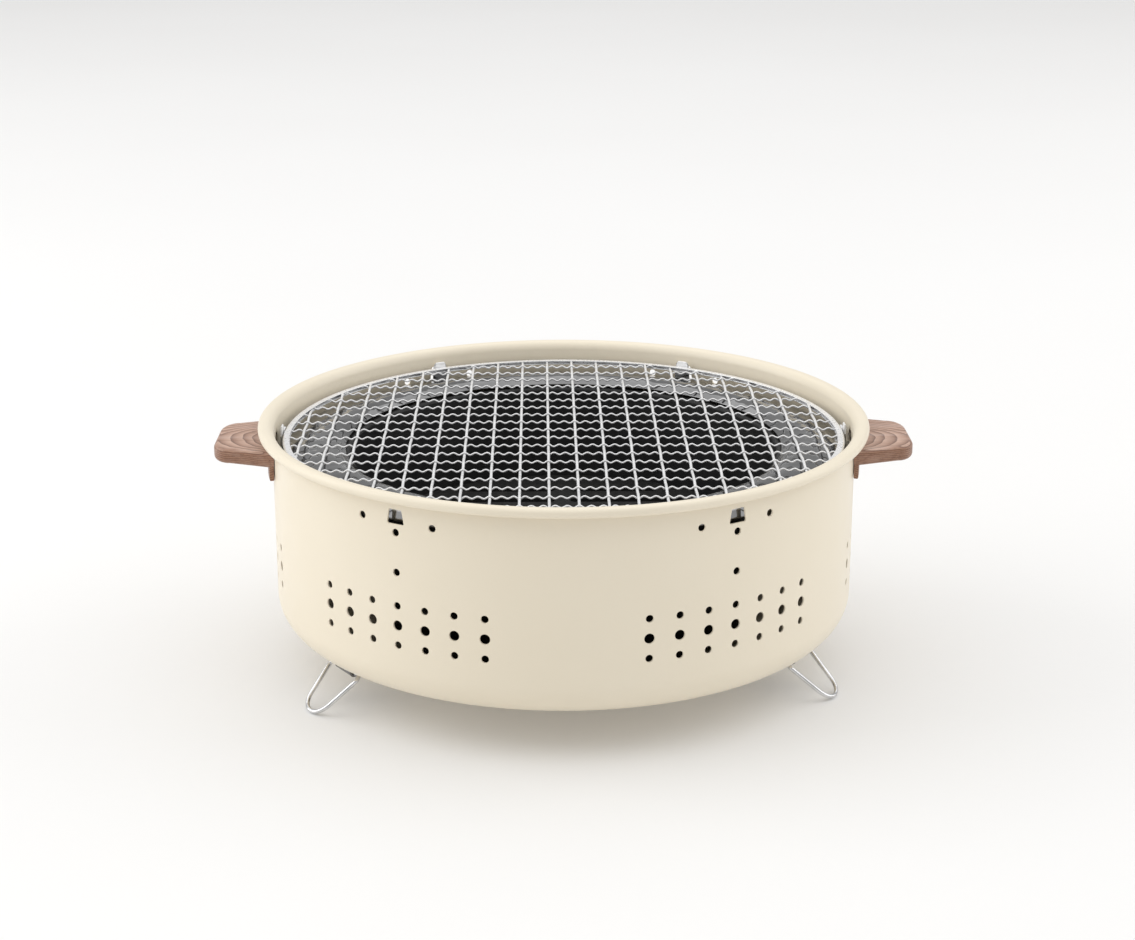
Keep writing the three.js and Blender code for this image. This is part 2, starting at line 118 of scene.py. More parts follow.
CLIP_END = ((0.1, 5.4), (0.7, 6.5), (1.5, 7.1))  # (within this of the inner end, half width)
RIVET_OUT, RIVET_SIDE, RIVET_HEAD, RIVET_HEAD_HIGH, RIVET_SHANK, RIVET_GAP = 112.0, 4.0, 2.5, 0.9, 1.3, 0.3

# ---- fire pan ----
COLLAR_SHEET = 0.8
COLLAR_EDGE = 110.1
COLLAR_CREST = (
    (139.4, 110.1), (136.5, 110.9), (132.0, 112.1), (125.0, 113.6), (119.0, 114.2),
    (113.5, 113.4), (110.4, 112.1), (109.2, 111.5),
)
EAR_TOP = 119.8
EAR_MIDDLE = 141.1                       # middle of the sheet of an upturned ear
EAR_LOW_WIDE, EAR_TOP_WIDE = 8.7, 7.0
EAR_FOOT, EAR_BEND = 138.6, 1.2          # where an ear's foot starts in the collar, and its bend
EAR_DROPS = (5.0, 2.2, 1.4, 0.8)         # extra points under the top of an ear, for its round corners
EAR_CUT = ((0.6, 1.1), (1.0, 0.6), (1.5, 0.25))  # (under this drop, so much narrower on each side)
EAR_PAINTED_GLARE = (0.1146, 0.1156)              # heights in metres over which the painted reflection on the ears' tips sets in
BOWL_SHEET = 1.0
BOWL_TOP = top_of("charcoal_bowl")
BOWL_LOW = low_of("charcoal_bowl")
BOWL_RINGS = (0, 20, 45, 70)             # radii of the rings of points in its flat bottom
BOWL_LINE = (                            # (radius, height of the sheet's middle, rounding of the bend)
    (82, BOWL_LOW + BOWL_SHEET / 2, 0), (93.2, BOWL_LOW + BOWL_SHEET / 2, 7.0), (95.5, BOWL_LOW + 10.5, 4.0),
    (106.9, BOWL_TOP - BOWL_SHEET / 2, 1.5), (112.4, BOWL_TOP - BOWL_SHEET / 2, 0),
)
BOWL_HOLES, BOWL_HOLE, BOWL_HOLE_HIGH = 12, 4.0, 45.0
BOWL_PUNCH = (90, 106)                   # radii between which a punch passes through the wall
GRATE_LOW, GRATE_TOP = low_of("charcoal_grate"), top_of("charcoal_grate")
GRATE_RADIUS, GRATE_BORDER, GRATE_BRIDGE = 98.4, 10.0, 8.0
GRATE_STEP, GRATE_SLOT, GRATE_ROWS, GRATE_EDGE = 18.0, 6.0, 9, 0.6
PUNCH_PAST = 2                           # how far a slot's cutter stands out of the disc on either side

# ---- cooking net ----
NET_LEVEL = (top_of("cooking_net") + low_of("cooking_net")) / 2
NET_OUT = 140.0
NET_FOLD, NET_STRIP = 2.5, 0.45          # height of the folded edge, thickness of its strip
NET_PITCH = 13.6
MAIN_WIRE, MAIN_SHIFT, MAIN_SWING = 0.7, 5.8, 0.5
CROSS_WIRE, CROSS_SHIFT, CROSS_SWING, CROSS_WAVES = 0.47, -8.9, 0.5, 2.5
CROSS_CLIMB = 0.2                        # the extra swing where a cross wire passes a main wire
MAIN_STEP, CROSS_STEP = 1.9, 0.5         # distance between points along a wire
MAIN_FADE, CROSS_FADE = 5.0, 3.0         # the swing dies out this near the ends
WIRE_INSET, WIRE_EDGE = 1.1, 2.5         # wires end this far inside the edge; none lies nearer to it
FOLD_DEEP, FOLD_LEAN, FOLD_BEND = 3.2, 0.15, 0.9  # depth of the folded edge, its closing, its bends

# ------------------------------------------------------------------ mesh helpers

STRAIGHT = 1.57                          # half the angle at a corner from which the line counts as straight
SAME = 1e-6                              # lengths under this count as nothing
NEAR = 1e-4                              # heights this near to each other count as one
WIRE_OPEN, HEAD_OPEN = 0.35, 0.3         # share of a step by which a dome stops short of its middle


def around(point, degrees):
    """A point of a shape that faces the front, turned to an angle round the grill."""
    return Matrix.Rotation(math.radians(degrees), 3, "Z") @ Vector(point)


def rounded(corners, steps=6):
    """A line through [(point, radius)] with every inner corner rounded to its radius."""
    line = [Vector(corners[0][0])]
    for (before, _), (corner, radius), (after, _) in zip(corners, corners[1:], corners[2:]):
        corner = Vector(corner)
        back = (Vector(before) - corner).normalized()
        ahead = (Vector(after) - corner).normalized()
        half = back.angle(ahead) / 2
        if not radius or half > STRAIGHT:
            line.append(corner)
            continue
        start = corner + back * (radius / math.tan(half))
        end = corner + ahead * (radius / math.tan(half))
        middle = corner + (back + ahead).normalized() * (radius / math.sin(half))
        first, last = (start - middle).normalized(), (end - middle).normalized()
        for step in range(steps + 1):
            line.append(middle + first.slerp(last, step / steps) * radius)
    line.append(Vector(corners[-1][0]))
    return line


def arc(middle, wide, high, start, end, steps):
    """Points of an elliptical arc, end points included."""
    turns = [math.radians(start + (end - start) * step / steps) for step in range(steps + 1)]
    return [Vector((middle[0] + wide * math.cos(turn), middle[1] + high * math.sin(turn)))
            for turn in turns]


def sheet_outline(line, thick, cap_start=True, cap_end=True, cap_steps=4):
    """The closed outline of a sheet whose middle follows a line, as [(point, normal)]."""
    half = thick / 2
    sides = []
    for index, point in enumerate(line):
        before, after = line[max(index - 1, 0)], line[min(index + 1, len(line) - 1)]
        along = after - before
        inside = 0 < index < len(line) - 1
        if inside and (abs(point.x - before.x) < SAME or abs(after.x - point.x) < SAME):
            along = Vector((0.0, math.copysign(1.0, along.y)))
        along.normalize()
        sides.append((point, along, Vector((along.y, -along.x))))
    outline = [(point + side * half, side) for point, _, side in sides]

    def cap(point, along, side, sign):
        rim = []
        for step in range(1, cap_steps):
            turn = math.pi * step / cap_steps
            out = (side * math.cos(turn) + along * math.sin(turn)) * sign
            rim.append((point + out * half, out))
        return rim

    if cap_end:
        outline += cap(*sides[-1], 1)
    outline += [(point - side * half, -side) for point, _, side in reversed(sides)]
    if cap_start:
        outline += cap(*sides[0], -1)
    return outline


def stepped(value, steps, rest):
    """The result that goes with the first limit above the value."""
    return next((result for limit, result in steps if value < limit), rest)


def face_outwards(work):
    bmesh.ops.recalc_face_normals(work, faces=work.faces)
    if work.calc_volume(signed=True) < 0:
        bmesh.ops.reverse_faces(work, faces=work.faces)


class Skin:
    """A mesh in the making: corners with their own normals, shared where they fall together."""

    def __init__(self):
        self.points, self.normals, self.faces, self.found = [], [], [], {}

    def corner(self, point, normal):
        key = tuple(round(value, 4) for value in point)
        if key not in self.found:
            self.found[key] = len(self.points)
            self.points.append(Vector(point))
            self.normals.append(Vector(normal).normalized())
        return self.found[key]

    def face(self, corners):
        lean = [corner for index, corner in enumerate(corners) if corner != corners[index - 1]]
        if len(lean) > 2:
            self.faces.append(lean)

    def strips(self, rings, loop=False):
        """Quads between neighbouring closed rings of corners."""
        pairs = zip(rings, rings[1:] + rings[:1]) if loop else zip(rings, rings[1:])
        for first, second in pairs:
            for index in range(len(first)):
                self.face([first[index - 1], first[index], second[index], second[index - 1]])

    def lathe(self, outline, angles, closed=True, skip=None):
        """An outline of (radius, height) points with normals, turned round the grill's axis."""
        columns = []
        for degrees in angles:
            turn = math.radians(degrees)
            out = Vector((math.sin(turn), -math.cos(turn), 0))
            columns.append([
                self.corner(out * point.x + Vector((0, 0, point.y)),
                            out * normal.x + Vector((0, 0, normal.y)))
                for point, normal in outline])
        for column in range(len(columns)):
            left, right = columns[column - 1], columns[column]
            for row in range(0 if closed else 1, len(outline)):
                if skip is None or not skip(column, row):
                    self.face([left[row - 1], right[row - 1], right[row], left[row]])

    def tube(self, line, radius, sides, loop=False, dome=0):
        """A round wire along a line of points, with flat or domed ends."""
        count = len(line)
        ways = []
        for index in range(count):
            if loop:
                along = line[(index + 1) % count] - line[index - 1]
            else:
                along = line[min(index + 1, count - 1)] - line[max(index - 1, 0)]
            ways.append(along.normalized())
        side = ways[0].orthogonal().normalized()
        stations = []
        for point, way in zip(line, ways):
            side = (side - way * side.dot(way)).normalized()
            stations.append((point, way, side, radius, 0.0))
        if dome and not loop:
            ends = []
            for (point, way, side, _, _), sign in ((stations[0], -1), (stations[-1], 1)):
                cap = []
                for step in range(1, dome + 1):
                    turn = math.pi / 2 * step / (dome + WIRE_OPEN)
                    reach = radius * math.sin(turn)
                    cap.append((point + way * sign * reach, way, side,
                                radius * math.cos(turn), sign * math.sin(turn)))
                ends.append(cap)
            stations = ends[0][::-1] + stations + ends[1]
        rings = []
        for point, way, side, wide, lean in stations:
            other = way.cross(side)
            ring = []
            for step in range(sides):
                turn = 2 * math.pi * step / sides
                out = side * math.cos(turn) + other * math.sin(turn)
                normal = out * math.sqrt(max(1 - lean * lean, 0.01)) + way * lean
                ring.append(self.corner(point + out * wide, normal))
            rings.append(ring)
        self.strips(rings, loop)
        if not loop:
            self.face(rings[0])
            self.face(rings[-1])

    def make(self, name):
        mesh = bpy.data.meshes.new(name)
        mesh.from_pydata([point * MM for point in self.points], [], self.faces)
        work = bmesh.new()
        work.from_mesh(mesh)
        face_outwards(work)
        work.to_mesh(mesh)
        work.free()
        mesh.shade_smooth()
        mesh.normals_split_custom_set_from_vertices(self.normals)
        piece = bpy.data.objects.new(name, mesh)
        bpy.context.scene.collection.objects.link(piece)
        return piece


def solid(name, rings, turn=0.0):
    """A closed solid through rings of points, one ring over the other, with flat ends."""
    mesh = bpy.data.meshes.new(name)
    work = bmesh.new()
    loops = [[work.verts.new(around(point, turn) * MM) for point in ring] for ring in rings]
    for low, high in zip(loops, loops[1:]):
        for index in range(len(low)):
            work.faces.new((low[index - 1], low[index], high[index], high[index - 1]))
    work.faces.new(loops[0])
    work.faces.new(loops[-1])
    face_outwards(work)
    work.to_mesh(mesh)
    work.free()
    piece = bpy.data.objects.new(name, mesh)
    bpy.context.scene.collection.objects.link(piece)
    return piece


def joined(piece, others, operation, solver="EXACT"):
    """The piece with the others added or cut away; the others go."""
    for other in others:
        step = piece.modifiers.new(operation, "BOOLEAN")
        step.operation, step.solver, step.object = operation, solver, other
    keep_evaluated(piece)
    for other in others:
        bpy.data.objects.remove(other)
    return piece


def keep_evaluated(piece):
    """Turns a piece's modifiers into its own mesh."""
    graph = bpy.context.evaluated_depsgraph_get()
    mesh = bpy.data.meshes.new_from_object(piece.evaluated_get(graph))
    piece.modifiers.clear()
    piece.data = mesh


def soften(piece, degrees=40):
    """Smooth shading up to an angle, with large faces kept flat."""
    piece.data.shade_smooth()
    piece.data.set_sharp_from_angle(angle=math.radians(degrees))
    step = piece.modifiers.new("flat faces", "WEIGHTED_NORMAL")
    step.keep_sharp = True
    step.weight = 100
    keep_evaluated(piece)
    return piece


# ------------------------------------------------------------------ finishes


class Finish:
    """A node material, with short calls for what the finishes share."""

    def __init__(self, name, **sockets):
        self.material = bpy.data.materials.new(name)
        self.material.use_nodes = True
        self.tree = self.material.node_tree
        self.shader = self.tree.nodes["Principled BSDF"]
        self.place = self.add("ShaderNodeTexCoord").outputs["Object"]
        for socket, value in sockets.items():
            self.set(socket.replace("_", " "), value)

    def add(self, kind, inputs=(), **settings):
        node = self.tree.nodes.new(kind)
        for key, value in settings.items():
            setattr(node, key, value)
        for key, value in dict(inputs).items():
            if isinstance(value, bpy.types.NodeSocket):
                self.tree.links.new(value, node.inputs[key])
            else:
                node.inputs[key].default_value = value
        return node

    def set(self, socket, value):
        if isinstance(value, bpy.types.NodeSocket):
            self.tree.links.new(value, self.shader.inputs[socket])
        else:
            self.shader.inputs[socket].default_value = value

    def moved(self, location=(0, 0, 0), rotation=(0, 0, 0), scale=(1, 1, 1)):
        turned = tuple(math.radians(value) for value in rotation)
        return self.add("ShaderNodeMapping", {
            "Vector": self.place, "Location": location, "Rotation": turned, "Scale": scale}).outputs[0]

    def noise(self, scale, detail=3.0, rough=0.5, place=None):
        return self.add("ShaderNodeTexNoise", {
            "Vector": place or self.place, "Scale": scale, "Detail": detail, "Roughness": rough,
        }).outputs["Fac"]

    def spread(self, value, low, high, start=0.3, end=0.7):
        """A noise value between start and end, spread over low to high."""
        return self.add("ShaderNodeMapRange", {
            "Value": value, "From Min": start, "From Max": end, "To Min": low, "To Max": high}).outputs[0]

    def ramp(self, value, stops):
        node = self.add("ShaderNodeValToRGB", {"Fac": value})
        marks = node.color_ramp.elements
        while len(marks) < len(stops):
            marks.new(0.5)
        for mark, (spot, color) in zip(marks, stops):
            mark.position = spot
            mark.color = (*color, 1)
        return node.outputs["Color"]

    def mix(self, share, first, second, blend="MIX"):
        node = self.add("ShaderNodeMix", data_type="RGBA", blend_type=blend)
        for socket, value in ((node.inputs[0], share), (node.inputs[6], first), (node.inputs[7], second)):
            if isinstance(value, bpy.types.NodeSocket):
                self.tree.links.new(value, socket)
            else:
                socket.default_value = value if isinstance(value, float) else (*value, 1)
        return node.outputs[2]

    def math(self, operation, first, second):
        return self.add("ShaderNodeMath", {0: first, 1: second}, operation=operation).outputs[0]

    def bump(self, height, distance, strength=1.0, after=None):
        inputs = {"Height": height, "Distance": distance, "Strength": strength}
        if after is not None:
            inputs["Normal"] = after
        normal = self.add("ShaderNodeBump", inputs).outputs[0]
        self.set("Normal", normal)
        return normal


def enamel():
    look = Finish("cream_enamel", Specular_IOR_Level=0.5, Coat_Weight=0.15, Coat_Roughness=0.25)
    cloud = look.noise(9, 4)
    tone = look.ramp(look.spread(cloud, 0, 1), [
        (0.0, (0.848, 0.762, 0.604)), (1.0, (0.872, 0.790, 0.638))])
    fleck = look.spread(look.noise(1400, 2), 0, 1, 0.62, 0.74)
    look.set("Base Color", look.mix(look.math("MULTIPLY", fleck, 0.12), tone, (0.74, 0.65, 0.50)))
    look.set("Roughness", look.spread(look.noise(60, 4), 0.34, 0.44))
    peel = look.bump(look.noise(420, 3, 0.45), 0.00006, 0.5)
    look.bump(look.noise(22, 2), 0.0004, 0.25, peel)
    return look.material


def walnut(side):
    """Wood whose rings open towards the tip of the handle on that side (1 right, -1 left), with painted light
    on the faces that look up.
    """
    look = Finish(f"walnut_{'right' if side > 0 else 'left'}", Specular_IOR_Level=0.5)
    log = look.moved(location=(0, 0.002 * side, -0.0690), rotation=(0, -10, 0), scale=(side, 1, 1))
    drift = look.add("ShaderNodeTexNoise", {"Vector": log, "Scale": 45.0, "Detail": 2.0}).outputs["Color"]
    pushed = look.add("ShaderNodeVectorMath", {0: drift, 1: (0.0, 0.012, 0.0016)}, operation="MULTIPLY")
    warp = look.add("ShaderNodeVectorMath", {0: log, 1: pushed.outputs[0]}).outputs[0]
    rings = look.add("ShaderNodeTexWave", {
        "Vector": warp, "Scale": 330.0, "Distortion": 4.0, "Detail": 2.0, "Detail Scale": 0.10,
    }, wave_type="RINGS", rings_direction="X", wave_profile="SAW").outputs["Fac"]
    tone = look.ramp(rings, [
        (0.0, (0.40, 0.222, 0.142)), (0.4, (0.33, 0.172, 0.106)), (0.75, (0.225, 0.106, 0.062)),
        (0.93, (0.105, 0.044, 0.025)), (1.0, (0.36, 0.196, 0.124))])
    grain = look.moved(scale=(0.05, 1, 1))
    fibre = look.noise(900, 4, 0.6, grain)
    tone = look.mix(look.spread(fibre, 0.0, 0.65, 0.45, 0.75), tone, (0.15, 0.068, 0.040))
    light = look.noise(300, 3, 0.55, grain)
    tone = look.mix(look.spread(light, 0.0, 0.4, 0.5, 0.8), tone, (0.52, 0.35, 0.27))
    pores = look.spread(look.noise(2600, 2, 0.5, look.moved(scale=(0.09, 1, 1))), 0, 1, 0.63, 0.70)
    tone = look.mix(look.math("MULTIPLY", pores, 0.6), tone, (0.07, 0.035, 0.023))
    # painted light: faces that look up are multiplied lighter and paler, a painted sheen of the light from
    # above
    facing = look.add("ShaderNodeSeparateXYZ", {
        "Vector": look.add("ShaderNodeNewGeometry").outputs["Normal"]}).outputs["Z"]
    painted_top_light = look.spread(facing, 0.0, 1.0, 0.45, 0.98)
    tone = look.mix(painted_top_light, tone, (1.60, 1.95, 2.35), "MULTIPLY")
    look.set("Base Color", tone)
    look.set("Roughness", look.spread(fibre, 0.36, 0.5))
    height = look.math("SUBTRACT", look.math("MULTIPLY", fibre, 0.5), pores)
    look.bump(height, 0.00010, 0.45)
    return look.material


def chrome():
    look = Finish("chromed_wire", Metallic=1.0)
    look.set("Base Color", look.ramp(look.spread(look.noise(160, 3), 0, 1), [
        (0.0, (0.62, 0.62, 0.62)), (1.0, (0.80, 0.80, 0.81))]))
    look.set("Roughness", look.spread(look.noise(700, 3), 0.08, 0.22))
    look.bump(look.noise(1500, 2), 0.00004, 0.35)
    return look.material


def rolled_steel():
    """Bright sheet; the tips of the collar's ears, from the heights set above (in metres), are painted paler
    and duller, a painted reflection of white light.
    """
    look = Finish("rolled_steel", Metallic=1.0)
    tint = look.ramp(look.spread(look.noise(35, 4), 0, 1), [
        (0.0, (0.205, 0.205, 0.207)), (1.0, (0.29, 0.29, 0.292))])
    scratch = look.spread(look.noise(2200, 2, 0.5, look.moved(scale=(0.06, 1, 1))), 0, 1, 0.60, 0.72)
    tint = look.mix(look.math("MULTIPLY", scratch, 0.3), tint, (0.22, 0.22, 0.22))
    height = look.add("ShaderNodeSeparateXYZ", {"Vector": look.place}).outputs["Z"]
    # painted reflection: above these heights the ear tips are painted pale and dull, standing in for white
    # light reflected off them
    ear = look.spread(height, 0.0, 1.0, *EAR_PAINTED_GLARE)
    look.set("Base Color", look.mix(ear, tint, (0.95, 0.95, 0.95)))
    look.set("Metallic", look.spread(ear, 1.0, 0.25, 0.0, 1.0))
    look.set("Roughness", look.math("ADD", look.spread(look.noise(240, 4), 0.04, 0.10),
                                    look.math("MULTIPLY", ear, 0.3)))
    wave = look.bump(look.noise(55, 2), 0.0016, 0.55)
    look.bump(look.noise(900, 2), 0.00003, 0.4, wave)
    return look.material


def black_enamel():
    look = Finish("black_enamel", Specular_IOR_Level=0.4)
    fleck = look.spread(look.noise(1100, 3), 0, 1, 0.60, 0.72)
    tone = look.ramp(look.spread(look.noise(25, 4), 0, 1), [
        (0.0, (0.007, 0.007, 0.0075)), (1.0, (0.013, 0.013, 0.013))])
    look.set("Base Color", look.mix(look.math("MULTIPLY", fleck, 0.25), tone, (0.045, 0.045, 0.045)))
    look.set("Roughness", look.spread(look.noise(130, 3), 0.42, 0.58))
    look.bump(look.noise(500, 3), 0.00010, 0.5)
    return look.material


def grate_iron():
    look = Finish("grate_iron", Metallic=0.2)
    look.set("Base Color", look.ramp(look.spread(look.noise(260, 5, 0.6), 0, 1), [
        (0.0, (0.010, 0.010, 0.010)), (0.8, (0.022, 0.021, 0.020)), (1.0, (0.045, 0.040, 0.036))]))
    look.set("Roughness", look.spread(look.noise(420, 4), 0.55, 0.8))
    look.bump(look.noise(650, 4, 0.6), 0.00018, 0.6)
    return look.material


def zinc():
    look = Finish("zinc_wire", Metallic=0.45)
    look.set("Base Color", look.ramp(look.spread(look.noise(210, 4, 0.6), 0, 1), [
        (0.0, (0.86, 0.86, 0.865)), (1.0, (0.97, 0.97, 0.975))]))
    look.set("Roughness", look.spread(look.noise(800, 3), 0.24, 0.38))
    look.bump(look.noise(1800, 3), 0.00005, 0.4)
    return look.material


def pale_floor():
    look = Finish("pale_floor", Specular_IOR_Level=0.2, Emission_Strength=0.10)
    look.set("Emission Color", (1.0, 0.985, 0.96, 1.0))
    look.set("Base Color", look.ramp(look.spread(look.noise(1.3, 3), 0, 1), [
        (0.0, (0.772, 0.768, 0.762)), (1.0, (0.788, 0.785, 0.780))]))
    look.set("Roughness", look.spread(look.noise(140, 3), 0.6, 0.75))
    look.bump(look.noise(700, 3), 0.00005, 0.25)
    return look.material


FINISHES = {
    "enamel": enamel(), "bright_wire": chrome(), "bright_steel": rolled_steel(),
    "black_enamel": black_enamel(), "grate_iron": grate_iron(), "net_wire": zinc(),
}
WALNUTS = {"handle_left": walnut(-1), "handle_right": walnut(1)}


def settle(piece, node):
    """The piece stands for a CAD node: it takes its slot's finish and rides on its body."""
    piece.data.materials.clear()
    piece.data.materials.append(WALNUTS.get(node) or FINISHES[SLOT_OF[node]])
    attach(piece, BODY_OF[node])
    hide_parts(node)
    return piece


# ------------------------------------------------------------------ tub


def wall_angles():
    """Column angles round the tub, and the set of columns that end inside a patch of holes."""
    angles, inside = [], set()
    for index, group in enumerate(GROUP_ANGLES):
        steps = round(2 * GROUP_HALF / COLUMN)
        for step in range(steps + 1):
            if step:
                inside.add(len(angles))
            angles.append(group - GROUP_HALF + step * 2 * GROUP_HALF / steps)
        last = index == len(GROUP_ANGLES) - 1
        after = GROUP_ANGLES[0] + 360 if last else GROUP_ANGLES[index + 1]
        start, end = group + GROUP_HALF, after - GROUP_HALF
        plain = round((end - start) / COLUMN)
        angles += [start + (end - start) * step / plain for step in range(1, plain)]
    return angles, inside


def wall_heights():
    return [WALL_LOW + (WALL_TOP - WALL_LOW) * row / WALL_ROWS for row in range(WALL_ROWS + 1)]


def ring_of(points):
    """A closed polygon of corners, each with the way into the hole from there."""
    middle = sum(points, Vector((0, 0))) / len(points)
    return [(point, (middle - point).normalized()) for point in points]


def group_holes():
    """The holes of one group round its own middle, as rings of (across, height) points."""
    low, top = SLOT_MID - SLOT_HIGH / 2, SLOT_MID + SLOT_HIGH / 2
    half_low, half_top = SLOT_WIDE_LOW / 2, SLOT_WIDE_TOP / 2
    loop = [((0, low), 0), ((half_low, low), SLOT_CORNER), ((half_top, top), SLOT_CORNER),
            ((-half_top, top), SLOT_CORNER), ((-half_low, low), SLOT_CORNER), ((0, low), 0)]
    rings = [rounded(loop, 5)[:-1]]
    spots = [(side * FLANK_ANGLE, FLANK_HEIGHT, SMALL_HOLE) for side in (-1, 1)]
    spots += [(0, height, SMALL_HOLE) for height in STEM_HEIGHTS]
    spots += [(column * VENT_STEP, height, radius)
              for column in range(-3, 4) for height, radius in VENT_ROWS]
    for degrees, height, radius in spots:
        rings.append(arc((degrees * PER_DEGREE, height), radius, radius, 0, 345, 23))
    return [ring_of(ring) for ring in rings]


def inside_ring(point, ring):
    """Whether a point lies inside a convex ring that runs counter-clockwise."""
    for index, (corner, _) in enumerate(ring):
        edge = corner - ring[index - 1][0]
        to_point = point - ring[index - 1][0]
        if edge.x * to_point.y - edge.y * to_point.x < 0:
            return False
    return True


def patch(skin, group):
    """The part of the wall that holds one group of holes, outside and inside, with the hole edges."""
    heights = wall_heights()
    steps = round(2 * GROUP_HALF / COLUMN)
    across = [(-GROUP_HALF + step * 2 * GROUP_HALF / steps) * PER_DEGREE for step in range(steps + 1)]
    holes = group_holes()

    def grown(hole, by):
        return [(corner - inward * by, inward) for corner, inward in hole]

    clear = [grown(hole, HOLE_EDGE + HOLE_CLEAR) for hole in holes]
    border = [(0, row) for row in range(len(heights))]
    border += [(col, len(heights) - 1) for col in range(1, len(across))]
    border += [(len(across) - 1, row) for row in range(len(heights) - 2, -1, -1)]
    border += [(col, 0) for col in range(len(across) - 2, 0, -1)]
    spots = [Vector((across[col], heights[row])) for col, row in border]
    edges = [(index - 1 if index else len(border) - 1, index) for index in range(len(border))]
    for hole in holes:
        first = len(spots)
        spots += [corner - inward * HOLE_EDGE for corner, inward in hole]
        edges += [(first + (index - 1) % len(hole), first + index) for index in range(len(hole))]
    for col in range(1, len(across) - 1):
        for row in range(1, len(heights) - 1):
            spot = Vector((across[col], heights[row]))
            if not any(inside_ring(spot, ring) for ring in clear):
                spots.append(spot)
    _, _, faces, origin, _, _ = delaunay_2d_cdt(spots, edges, [], 0, SAME)

    def wall_corner(spot, radius, normal_sign=1, inward=None):
        turn = math.radians(group + spot.x / PER_DEGREE)
        out = Vector((math.sin(turn), -math.cos(turn), 0))
        side = Vector((math.cos(turn), math.sin(turn), 0))
        normal = out * normal_sign if inward is None else side * inward.x + Vector((0, 0, inward.y))
        return skin.corner(out * radius + Vector((0, 0, spot.y)), normal)

    widened = [grown(hole, HOLE_EDGE) for hole in holes]
    for face in faces:
        own = [spots[origin[index][0]] for index in face]
        middle = sum(own, Vector((0, 0))) / 3
        if any(inside_ring(middle, hole) for hole in widened):
            continue
        skin.face([wall_corner(spot, TUB_RADIUS) for spot in own])
        skin.face([wall_corner(spot, TUB_RADIUS - TUB_SHEET, -1) for spot in own])
    for hole in holes:
        rings = []
        for radius, grow, kind in (
                (TUB_RADIUS, HOLE_EDGE, 1), (TUB_RADIUS - HOLE_EDGE, 0, 0),
                (TUB_RADIUS - TUB_SHEET + HOLE_EDGE, 0, 0), (TUB_RADIUS - TUB_SHEET, HOLE_EDGE, -1)):
            rings.append([
                wall_corner(corner - inward * grow, radius, kind, None if kind else inward)
                for corner, inward in hole])
        skin.strips(rings)


def tub():
    """One sheet: floor, round corner, wall with its patches of holes, rolled rim."""
    skin = Skin()
    angles, inside = wall_angles()
    middle = TUB_RADIUS - TUB_SHEET / 2
    floor = TUB_FLOOR + TUB_SHEET / 2
    line = [Vector((radius, floor)) for radius in FLOOR_RINGS]
    line += arc((TUB_RADIUS - CORNER_WIDE, WALL_LOW), CORNER_WIDE - TUB_SHEET / 2,
                CORNER_HIGH - TUB_SHEET / 2, -90, 0, 16)[:-1]
    line += [Vector((middle, height)) for height in wall_heights()]
    rise = TUB_TOP - TUB_SHEET / 2 - RIM_RISE
    line += arc((middle + RIM_RISE, rise), RIM_RISE, RIM_RISE, 180, 90, 10)
    line += arc((RIM_LAND, TUB_TOP - TUB_SHEET / 2 - RIM_CURL), RIM_CURL, RIM_CURL, 90, -165, 20)
    outline = sheet_outline(line, TUB_SHEET, cap_start=False)

    def on_wall(row):
        ends = (outline[row - 1][0], outline[row][0])
        upright = abs(ends[0].x - ends[1].x) < SAME
        on_face = abs(abs(ends[0].x - middle) - TUB_SHEET / 2) < SAME
        return upright and on_face and all(WALL_LOW - NEAR < end.y < WALL_TOP + NEAR for end in ends)

    wall_rows = {row for row in range(1, len(outline)) if on_wall(row)}
    skin.lathe(outline, angles, closed=False,
               skip=lambda column, row: column in inside and row in wall_rows)
    for group in GROUP_ANGLES:
        patch(skin, group)
    return settle(skin.make("tub"), "tub_shell")


tub()

# ------------------------------------------------------------------ handles


def board_rings():
    """The board of a handle: its outline at every height, drawn in where the edges are rounded."""
    spread = math.degrees(math.asin(ROOT_HALF / HANDLE_ROOT))
    plan = arc((0, 0), HANDLE_ROOT, HANDLE_ROOT, -90 - spread, -90 + spread, 24)
    corner = TIP_HALF - TIP_ROUND
    plan += arc((corner, TIP_DEEP - HANDLE_END), TIP_ROUND, TIP_DEEP, 0, -90, 14)
    plan += arc((-corner, TIP_DEEP - HANDLE_END), TIP_ROUND, TIP_DEEP, -90, -180, 14)
    inward = []
    for index, point in enumerate(plan):
        ahead = (plan[(index + 1) % len(plan)] - point).normalized()
        back = (point - plan[index - 1]).normalized()
        way = (ahead + back).normalized()
        lean = max(way.dot(ahead), 0.5)
        inward.append(Vector((-way.y, way.x)) * (-1 / lean))
    low, steps = HANDLE_TOP - HANDLE_THICK, 6
    levels = []
    for step in range(steps, -1, -1):
        angle = math.pi / 2 * step / steps
        levels.append((low + HANDLE_EDGE * (1 - math.sin(angle)), HANDLE_EDGE * (1 - math.cos(angle))))
    levels += [(2 * low + HANDLE_THICK - height, inset) for height, inset in levels[::-1]]
    return [[(*(point + way * inset), height) for point, way in zip(plan, inward)]
            for height, inset in levels]


def lip_rings():
    """The lip of a handle, between two arcs round the wall."""
    outer = HANDLE_ROOT + LIP_THICK
    spread = math.degrees(math.asin((ROOT_HALF - LIP_NARROW) / outer))
    loop = arc((0, 0), HANDLE_ROOT, HANDLE_ROOT, -90 - spread, -90 + spread, 24)
    loop += arc((0, 0), outer, outer, -90 + spread, -90 - spread, 24)
    levels = [(LIP_LOW + above, inset) for above, inset in LIP_EDGE] + [(HANDLE_TOP - LIP_OVERLAP, 0.0)]
    rings = []
    for height, inset in levels:
        ring = []
        for point in loop:
            radius = point.length
            inner = radius < HANDLE_ROOT + LIP_THICK / 2
            pulled = radius + inset + LIP_CLEAR if inner else radius - inset
            ring.append((*(point * (pulled / radius)), height))
        rings.append(ring)
    return rings


